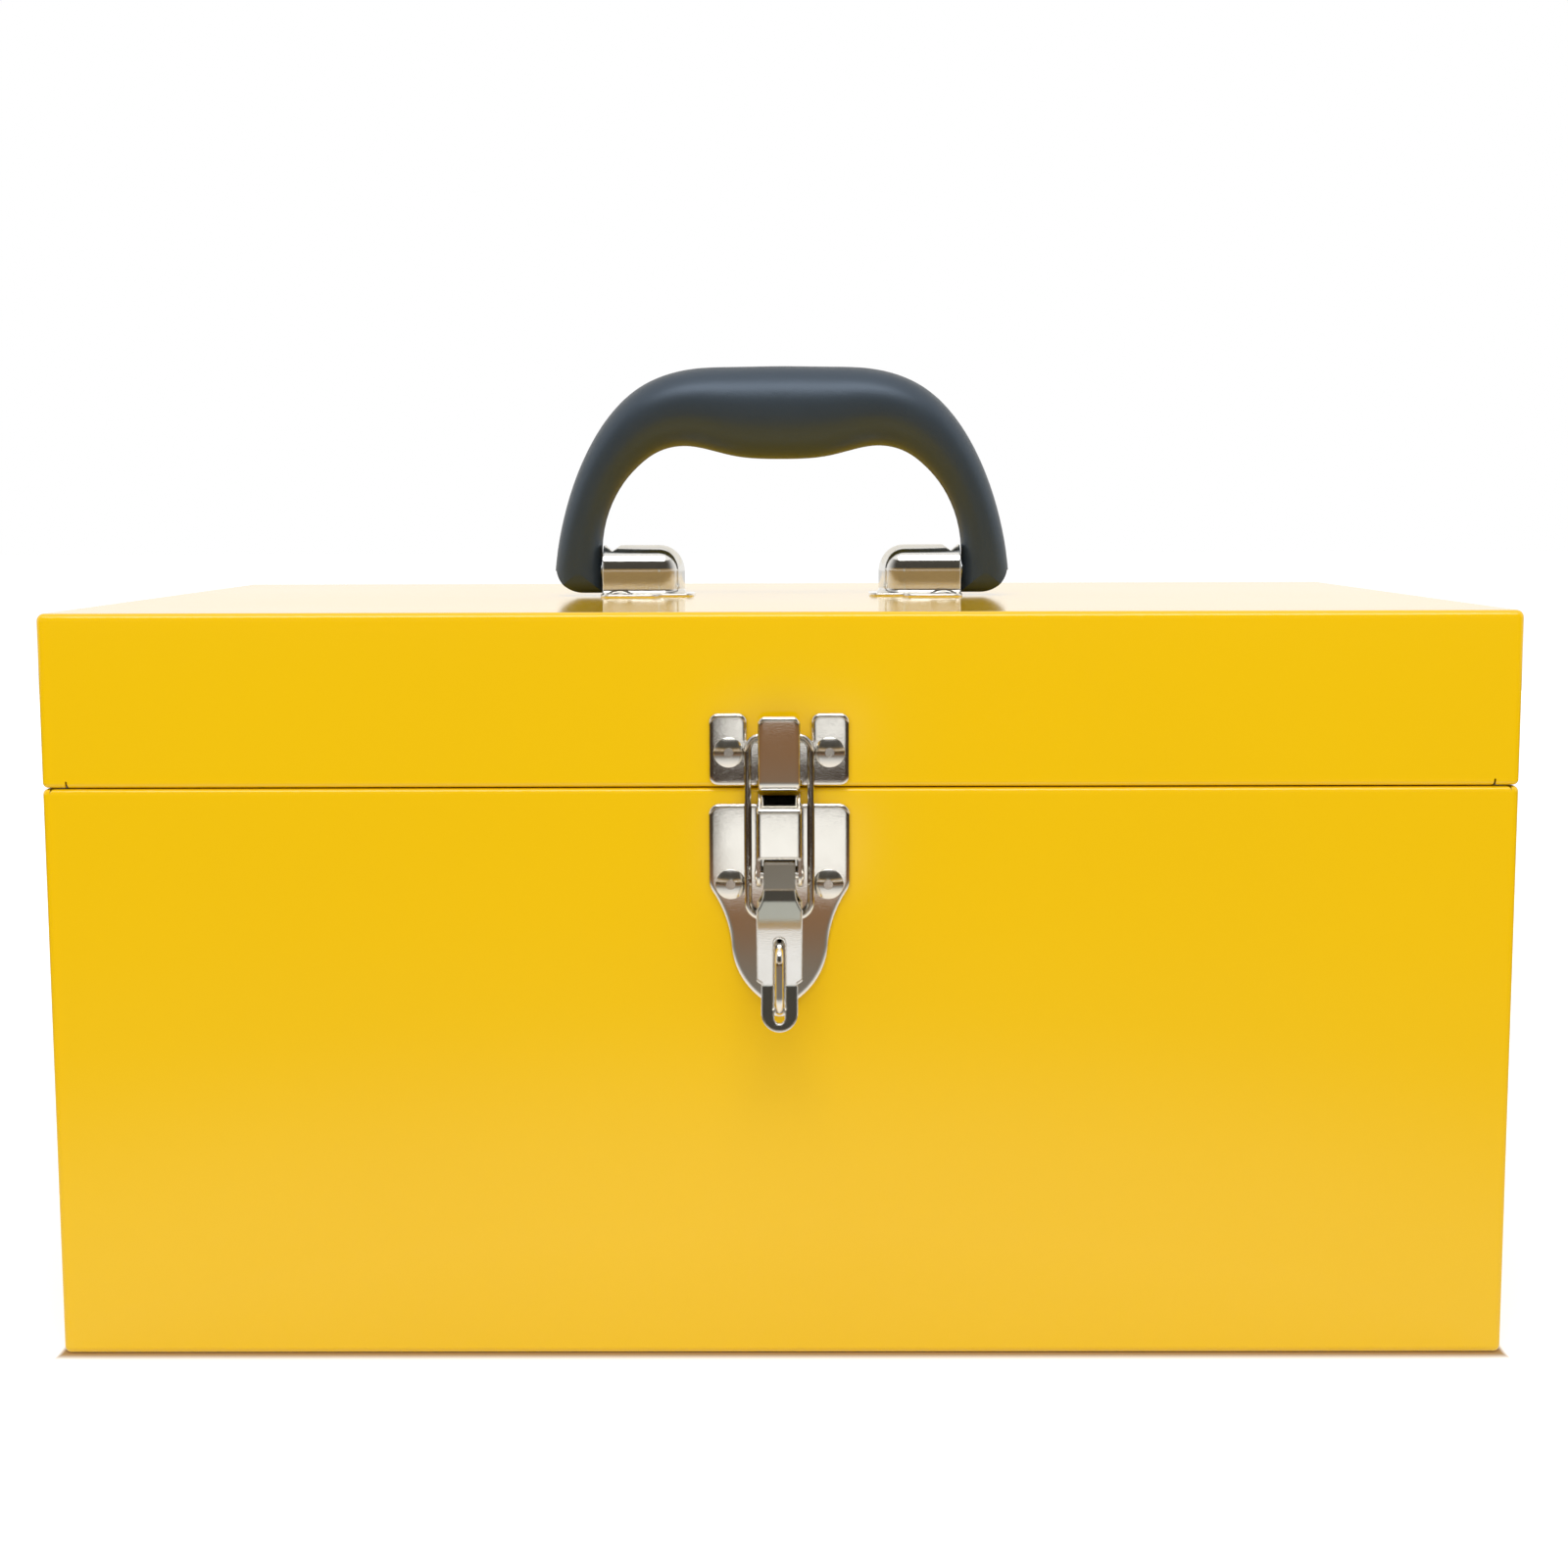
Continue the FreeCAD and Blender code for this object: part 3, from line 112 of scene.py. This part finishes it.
def cloudy_finish_group():
    """Slow change of colour and gloss over a surface, as every coating has."""
    tree, start, end = shader_group(
        "cloudy_finish",
        [("Colour A", "NodeSocketColor", (1, 1, 1, 1)),
         ("Colour B", "NodeSocketColor", (0, 0, 0, 1)),
         ("Cloud Scale", "NodeSocketFloat", 10.0),
         ("Gloss Low", "NodeSocketFloat", 0.2),
         ("Gloss High", "NodeSocketFloat", 0.4)],
        [("Colour", "NodeSocketColor"), ("Roughness", "NodeSocketFloat")])
    place = add_node(tree, "ShaderNodeTexCoord").outputs["Object"]
    cloud = noise(tree, place, start.outputs["Cloud Scale"], 4.0)
    colour = mixed_colour(tree, cloud, start.outputs["Colour A"], start.outputs["Colour B"])
    tree.links.new(colour, end.inputs["Colour"])
    gloss = remap(tree, cloud, start.outputs["Gloss Low"], start.outputs["Gloss High"])
    tree.links.new(gloss, end.inputs["Roughness"])
    return tree


def fine_grain_group():
    """Fine relief of a sprayed or moulded surface, as a height from 0 to 1."""
    tree, start, end = shader_group(
        "fine_grain",
        [("Grain Scale", "NodeSocketFloat", 800.0), ("Stretch", "NodeSocketVector", (1, 1, 1))],
        [("Height", "NodeSocketFloat")])
    place = add_node(tree, "ShaderNodeTexCoord").outputs["Object"]
    stretched = add_node(tree, "ShaderNodeVectorMath", operation="MULTIPLY")
    tree.links.new(place, stretched.inputs[0])
    tree.links.new(start.outputs["Stretch"], stretched.inputs[1])
    grain = noise(tree, stretched.outputs["Vector"], start.outputs["Grain Scale"], 3.0)
    tree.links.new(grain, end.inputs["Height"])
    return tree


CLOUDY_FINISH = cloudy_finish_group()
FINE_GRAIN = fine_grain_group()


def use_group(tree, group, **values):
    made = add_node(tree, "ShaderNodeGroup", node_tree=group)
    set_inputs(made, **values)
    return made


def coated_material(name, colours, cloud_scale, gloss, grain, relief, edge, **shader_values):
    """Material with a cloudy finish, fine relief and rounded edges; grain is its scale and stretch."""
    material = bpy.data.materials.new(name)
    material.use_nodes = True
    tree = material.node_tree
    shader = tree.nodes["Principled BSDF"]
    set_inputs(shader, **shader_values)
    finish = use_group(tree, CLOUDY_FINISH, Colour_A=colours[0], Colour_B=colours[1],
                       Cloud_Scale=cloud_scale, Gloss_Low=gloss[0], Gloss_High=gloss[1])
    tree.links.new(finish.outputs["Colour"], shader.inputs["Base Color"])
    tree.links.new(finish.outputs["Roughness"], shader.inputs["Roughness"])
    texture = use_group(tree, FINE_GRAIN, Grain_Scale=grain[0], Stretch=grain[1])
    edges = add_node(tree, "ShaderNodeBevel", samples=EDGE_SAMPLES)
    set_inputs(edges, Radius=edge)
    bump = add_node(tree, "ShaderNodeBump")
    set_inputs(bump, Strength=1.0, Distance=relief)
    tree.links.new(edges.outputs["Normal"], bump.inputs["Normal"])
    tree.links.new(texture.outputs["Height"], bump.inputs["Height"])
    tree.links.new(bump.outputs["Normal"], shader.inputs["Normal"])
    return material


yellow_paint = coated_material(
    "yellow_paint", (PAINT_YELLOW, PAINT_DEEP), 7.0, (0.08, 0.12), (420.0, (1, 1, 1)), 0.000002,
    SHEET_EDGE, Specular_IOR_Level=0.55)
nickel_plating = coated_material(
    "nickel_plating", (NICKEL_BRIGHT, NICKEL_DULL), 160.0, (0.03, 0.07), (900.0, (1, 1, 6)), 0.000002,
    PRESSED_EDGE, Metallic=1.0)
satin_nickel = coated_material(
    "satin_nickel", (NICKEL_BRIGHT, NICKEL_DULL), 300.0, (0.12, 0.20), (1800.0, (1, 1, 1)), 0.000004,
    SHEET_EDGE, Metallic=1.0)
zinc_steel = coated_material(
    "zinc_steel", (ZINC_BRIGHT, ZINC_DULL), 90.0, (0.26, 0.42), (1500.0, (0.04, 1, 1)), 0.000012,
    SHEET_EDGE, Metallic=1.0)
grip_plastic = coated_material(
    "grip_plastic", (GRIP_GREY, GRIP_WORN), 40.0, (0.34, 0.44), (2200.0, (1, 1, 1)), 0.00003,
    SHEET_EDGE, Specular_IOR_Level=0.75, Specular_Tint=GRIP_SHEEN)

FINISHES = {
    yellow_paint: ["base_shell", "lid_shell"],
    nickel_plating: ["keeper_plate", "latch_base_plate", "latch_lever", "latch_lever_pin",
                     "latch_loop", "padlock_staple", "handle_bracket_left",
                     "handle_bracket_right"],
    satin_nickel: ["keeper_rivets", "latch_base_rivets", "handle_bracket_rivets"],
    zinc_steel: ["hinge_leaf_base", "hinge_leaf_lid", "hinge_pin", "hinge_rivets_base",
                 "hinge_rivets_lid", "handle_trunnion_left", "handle_trunnion_right"],
    grip_plastic: ["handle_grip"],
}
for finish, members in FINISHES.items():
    for member in members:
        mesh = nodes[member].data
        mesh.materials.clear()
        mesh.materials.append(finish)


# Studio: white floor and surroundings, soft light from above and both sides, cards for reflections
FLOOR_SIZE = 24.0
FLOOR_GLOW = 0.40
FLOOR_GLOW_MIRRORED = 0.12
# Widths of the painted contact shadow beside the box's end and side walls, in metres
PAINTED_SHADOW_ENDS = 0.002
PAINTED_SHADOW_SIDES = 0.0055
FLOOR_WHITE = (0.82, 0.82, 0.82, 1.0)
# Floor colour right next to the box, seen by the camera only: a painted contact shadow
PAINTED_CONTACT_SHADOW = (0.42, 0.27, 0.12, 1.0)
CARD_WHITE = (0.92, 0.91, 0.88, 1.0)
CARD_GREY = (0.53, 0.56, 0.53, 1.0)
MAT_GREY = (0.18, 0.165, 0.14, 1.0)
MAT_BROWN = (0.215, 0.115, 0.055, 1.0)
MAT_DARK = (0.05, 0.035, 0.025, 1.0)
BAND_BROWN = (0.06, 0.045, 0.03, 1.0)
BAND_OCHRE = (0.43, 0.29, 0.12, 1.0)
BAND_BLACK = (0.07, 0.065, 0.055, 1.0)
BACKDROP_WHITE = (0.93, 0.91, 0.86, 1.0)
RING_SIDES = 96
SKY_ON_OBJECT = 0.81
SKY_SEEN = 1.0


def math_node(tree, operation, first, second):
    """Math on two values, given as numbers or sockets."""
    made = add_node(tree, "ShaderNodeMath", operation=operation)
    for socket, value in zip(made.inputs, (first, second)):
        if isinstance(value, bpy.types.NodeSocket):
            tree.links.new(value, socket)
        else:
            socket.default_value = value
    return made.outputs["Value"]


def smooth_step(tree, value, start, end, low, high):
    made = add_node(tree, "ShaderNodeMapRange", interpolation_type="SMOOTHSTEP")
    set_inputs(made, From_Min=start, From_Max=end, To_Min=low, To_Max=high)
    tree.links.new(value, made.inputs["Value"])
    return made.outputs["Result"]


def distance_from_axis(tree):
    """Distance on a flat piece of the set from the middle of the box."""
    length = add_node(tree, "ShaderNodeVectorMath", operation="LENGTH")
    tree.links.new(add_node(tree, "ShaderNodeTexCoord").outputs["Object"], length.inputs[0])
    return length.outputs["Value"]


def place_along(axis, sign):
    """Measure for a card: how far a point lies along an axis, towards the side that the sign gives."""
    def measure(tree):
        place = add_node(tree, "ShaderNodeSeparateXYZ")
        tree.links.new(add_node(tree, "ShaderNodeTexCoord").outputs["Object"], place.inputs["Vector"])
        return math_node(tree, "MULTIPLY", place.outputs[axis], sign)
    return measure


HEIGHT = place_along("Z", 1.0)
AHEAD = place_along("Y", -1.0)
BEHIND = place_along("Y", 1.0)


def distance_from_box(tree):
    """Distance on the floor from the base's walls, in widths of the painted contact shadow beside
    them.
    """
    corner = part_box("base_shell")[1]
    beyond = []
    for axis, half_size, line in (("X", corner[0], PAINTED_SHADOW_ENDS),
                                  ("Y", corner[1], PAINTED_SHADOW_SIDES)):
        away = math_node(tree, "ABSOLUTE", place_along(axis, 1.0)(tree), 0.0)
        past_wall = math_node(tree, "SUBTRACT", away, half_size)
        beyond.append(math_node(tree, "DIVIDE", past_wall, line))
    return math_node(tree, "MAXIMUM", *beyond)


def soft_card_material(name, measure, stops, fades):
    """Matt cloth with colours at places along a measure; each fade runs from clear to full."""
    material = bpy.data.materials.new(name)
    material.use_nodes = True
    tree = material.node_tree
    cloth = tree.nodes["Principled BSDF"]
    set_inputs(cloth, Roughness=0.9, Specular_IOR_Level=0.0)
    along = measure(tree)
    start, dyed = stops[0]
    set_inputs(cloth, Base_Color=dyed)
    for place, colour in stops[1:]:
        dyed = mixed_colour(tree, smooth_step(tree, along, start, place, 0.0, 1.0), dyed, colour)
        tree.links.new(dyed, cloth.inputs["Base Color"])
        start = place
    shown = 1.0
    for fade_measure, clear_at, full_at in fades:
        fade = smooth_step(tree, fade_measure(tree), clear_at, full_at, 0.0, 1.0)
        shown = math_node(tree, "MULTIPLY", shown, fade)
    clear = add_node(tree, "ShaderNodeBsdfTransparent")
    mix = add_node(tree, "ShaderNodeMixShader")
    tree.links.new(shown, mix.inputs["Fac"])
    tree.links.new(clear.outputs["BSDF"], mix.inputs[1])
    tree.links.new(cloth.outputs["BSDF"], mix.inputs[2])
    tree.links.new(mix.outputs["Shader"], tree.nodes["Material Output"].inputs["Surface"])
    return material


def ray_masks(tree):
    """One for rays from the camera, and one for rays that show a surface in another."""
    rays = add_node(tree, "ShaderNodeLightPath").outputs
    return rays["Is Camera Ray"], math_node(tree, "MAXIMUM", rays["Is Glossy Ray"],
                                            rays["Is Transmission Ray"])


def studio_floor():
    bpy.ops.object.select_all(action="DESELECT")
    bpy.ops.mesh.primitive_plane_add(size=FLOOR_SIZE)
    floor = bpy.context.object
    floor.name = "studio_floor"
    material = bpy.data.materials.new("white_floor")
    material.use_nodes = True
    tree = material.node_tree
    shader = tree.nodes["Principled BSDF"]
    set_inputs(shader, Roughness=0.9, Specular_IOR_Level=0.0, Emission_Color=(1, 1, 1, 1))
    camera, mirror = ray_masks(tree)
    # Within a few millimetres of the box, the floor turns brown and loses its glow for camera rays: a
    # painted contact shadow
    clear_of_painted_shadow = smooth_step(tree, distance_from_box(tree), 0.0, 1.0, 0.0, 1.0)
    outside_painted_shadow = math_node(tree, "MAXIMUM", clear_of_painted_shadow, math_node(tree, "SUBTRACT", 1.0, camera))
    floor_colour = mixed_colour(tree, outside_painted_shadow, PAINTED_CONTACT_SHADOW, FLOOR_WHITE)
    tree.links.new(floor_colour, shader.inputs["Base Color"])
    glow = math_node(tree, "MULTIPLY", clear_of_painted_shadow, FLOOR_GLOW)
    direct = math_node(tree, "MULTIPLY", camera, glow)
    mirrored = math_node(tree, "MULTIPLY", mirror, FLOOR_GLOW_MIRRORED)
    tree.links.new(math_node(tree, "ADD", direct, mirrored), shader.inputs["Emission Strength"])
    floor.data.materials.append(material)


def stage_card(card, name, material):
    """Names a finished card and gives it its material; only mirrors see it."""
    card.name = name
    card.visible_camera = False
    card.visible_diffuse = False
    card.visible_shadow = False
    card.data.materials.append(material)


def ring_card(name, ring, heights, keep_side, material):
    """Ring round the set: radii and heights of its two edges; keep_side is -1 front, 1 rear, 0 all."""
    bpy.ops.object.select_all(action="DESELECT")
    bpy.ops.mesh.primitive_circle_add(vertices=RING_SIDES, radius=ring[0])
    bpy.ops.object.mode_set(mode="EDIT")
    bpy.ops.mesh.select_all(action="SELECT")
    bpy.ops.transform.translate(value=(0, 0, heights[0]))
    bpy.ops.mesh.extrude_region_move(TRANSFORM_OT_translate={"value": (0, 0, heights[1] - heights[0])})
    widening = ring[1] / ring[0]
    bpy.ops.transform.resize(value=(widening, widening, 1))
    if keep_side:
        bpy.ops.mesh.select_all(action="SELECT")
        bpy.ops.mesh.bisect(plane_co=(0, 0, 0), plane_no=(0, -keep_side, 0), clear_outer=True)
    bpy.ops.object.mode_set(mode="OBJECT")
    stage_card(bpy.context.object, name, material)


def strip_card(name, widths, reach, height, material):
    """Strip that lies ahead of the latch and widens from its near end to its far end."""
    middle = -(reach[0] + reach[1]) / 2
    bpy.ops.object.select_all(action="DESELECT")
    bpy.ops.mesh.primitive_plane_add(size=1.0)
    bpy.ops.object.mode_set(mode="EDIT")
    bpy.ops.mesh.select_all(action="SELECT")
    bpy.ops.transform.resize(value=(widths[0], reach[1] - reach[0], 1))
    bpy.ops.transform.translate(value=(0, middle, height))
    for vertex in bmesh.from_edit_mesh(bpy.context.object.data).verts:
        vertex.select = vertex.co.y < middle
    bpy.ops.transform.resize(value=(widths[1] / widths[0], 1, 1))
    bpy.ops.object.mode_set(mode="OBJECT")
    stage_card(bpy.context.object, name, material)


def upright_card(name, width, heights, distance, material):
    """Upright card ahead of the latch."""
    bpy.ops.object.select_all(action="DESELECT")
    bpy.ops.mesh.primitive_plane_add(size=1.0)
    bpy.ops.object.mode_set(mode="EDIT")
    bpy.ops.mesh.select_all(action="SELECT")
    bpy.ops.transform.resize(value=(width, heights[1] - heights[0], 1))
    bpy.ops.object.mode_set(mode="OBJECT")
    card = bpy.context.object
    card.location = (0, -distance, (heights[0] + heights[1]) / 2)
    card.rotation_euler = (math.radians(90), 0, 0)
    bpy.ops.object.transform_apply(location=True, rotation=True, scale=False)
    stage_card(card, name, material)


def area_light(name, place, aim, size, power, in_mirrors):
    """Soft lamp that points from its place to its aim."""
    data = bpy.data.lights.new(name, "AREA")
    data.shape = "RECTANGLE"
    data.size, data.size_y = size
    data.energy = power
    lamp = bpy.data.objects.new(name, data)
    bpy.context.scene.collection.objects.link(lamp)
    away = Vector(place) - Vector(aim)
    turn = away.to_track_quat("Z", "Y").to_matrix().to_4x4()
    lamp.matrix_world = Matrix.Translation(place) @ turn
    lamp.visible_glossy = in_mirrors


def studio_world():
    """White surroundings, dimmer as a light on the object than where they are seen."""
    world = bpy.data.worlds.new("studio")
    world.use_nodes = True
    bpy.context.scene.world = world
    tree = world.node_tree
    soft = tree.nodes["Background"]
    set_inputs(soft, Color=(1, 1, 1, 1), Strength=SKY_ON_OBJECT)
    white = add_node(tree, "ShaderNodeBackground")
    set_inputs(white, Color=(1, 1, 1, 1), Strength=SKY_SEEN)
    mix = add_node(tree, "ShaderNodeMixShader")
    tree.links.new(math_node(tree, "MAXIMUM", *ray_masks(tree)), mix.inputs["Fac"])
    tree.links.new(soft.outputs["Background"], mix.inputs[1])
    tree.links.new(white.outputs["Background"], mix.inputs[2])
    tree.links.new(mix.outputs["Shader"], tree.nodes["World Output"].inputs["Surface"])


def studio_camera():
    data = bpy.data.cameras.new("photo_camera")
    data.sensor_width = SENSOR_MM
    data.lens = CAMERA_LENS_MM
    camera = bpy.data.objects.new("photo_camera", data)
    bpy.context.scene.collection.objects.link(camera)
    turn = (Matrix.Rotation(CAMERA_YAW, 4, "Z") @ Matrix.Rotation(CAMERA_PITCH, 4, "X")
            @ Matrix.Rotation(CAMERA_ROLL, 4, "Y") @ Matrix.Rotation(math.radians(90), 4, "X"))
    camera.matrix_world = Matrix.Translation(CAMERA_PLACE) @ turn
    bpy.context.scene.camera = camera


studio_floor()
# Each card has colours at distances in metres along one measure, then its fades
ring_card("floor_mat", (0.25, 3.0), (0.001, 0.001), 0,
          soft_card_material("brown_mat", distance_from_axis,
                             [(0.60, MAT_GREY), (0.85, MAT_BROWN), (1.20, MAT_DARK)],
                             [(distance_from_axis, 0.18, 0.62)]))
strip_card("latch_strip", (0.085, 0.175), (0.80, 2.30), 0.003,
           soft_card_material("striped_strip", AHEAD,
                              [(0.865, MAT_BROWN), (0.985, CARD_WHITE), (1.305, CARD_WHITE),
                               (1.375, MAT_DARK), (1.675, MAT_DARK), (1.835, CARD_WHITE)],
                              [(AHEAD, 0.80, 0.865)]))
ring_card("horizon_band", (3.0, 3.0), (0.0, 0.29), -1,
          soft_card_material("brown_band", HEIGHT, [(0.07, BAND_BROWN), (0.12, BAND_OCHRE)],
                             [(AHEAD, 0.0, 1.5)]))
ring_card("front_band", (1.5, 1.5), (0.23, 1.70), -1,
          soft_card_material("black_band", HEIGHT, [(0.36, BAND_OCHRE), (0.46, BAND_BLACK)],
                             [(HEIGHT, 0.235, 0.31), (AHEAD, 0.0, 1.2)]))
upright_card("lever_card", 0.07, (0.20, 0.30), 0.73,
             soft_card_material("grey_card", HEIGHT, [(0.20, CARD_GREY)],
                                [(HEIGHT, 0.20, 0.222), (HEIGHT, 0.30, 0.275)]))
ring_card("rear_band", (1.5, 1.5), (0.45, 2.60), 1,
          soft_card_material("white_band", HEIGHT, [(0.45, BACKDROP_WHITE)],
                             [(HEIGHT, 0.45, 0.65), (BEHIND, 0.0, 1.2)]))
area_light("overhead_softbox", (0, -1.2, 2.1), (0, 0, 0.1), (1.8, 0.9), 20.0, True)
area_light("front_softbox", (0, -2.0, 0.75), (0, 0, 0.05), (2.4, 1.6), 3.0, False)
area_light("rear_softbox", (0, 2.0, 0.75), (0, 0, 0.05), (2.4, 1.6), 8.0, False)
studio_world()
studio_camera()

bpy.context.scene.view_settings.view_transform = "Standard"
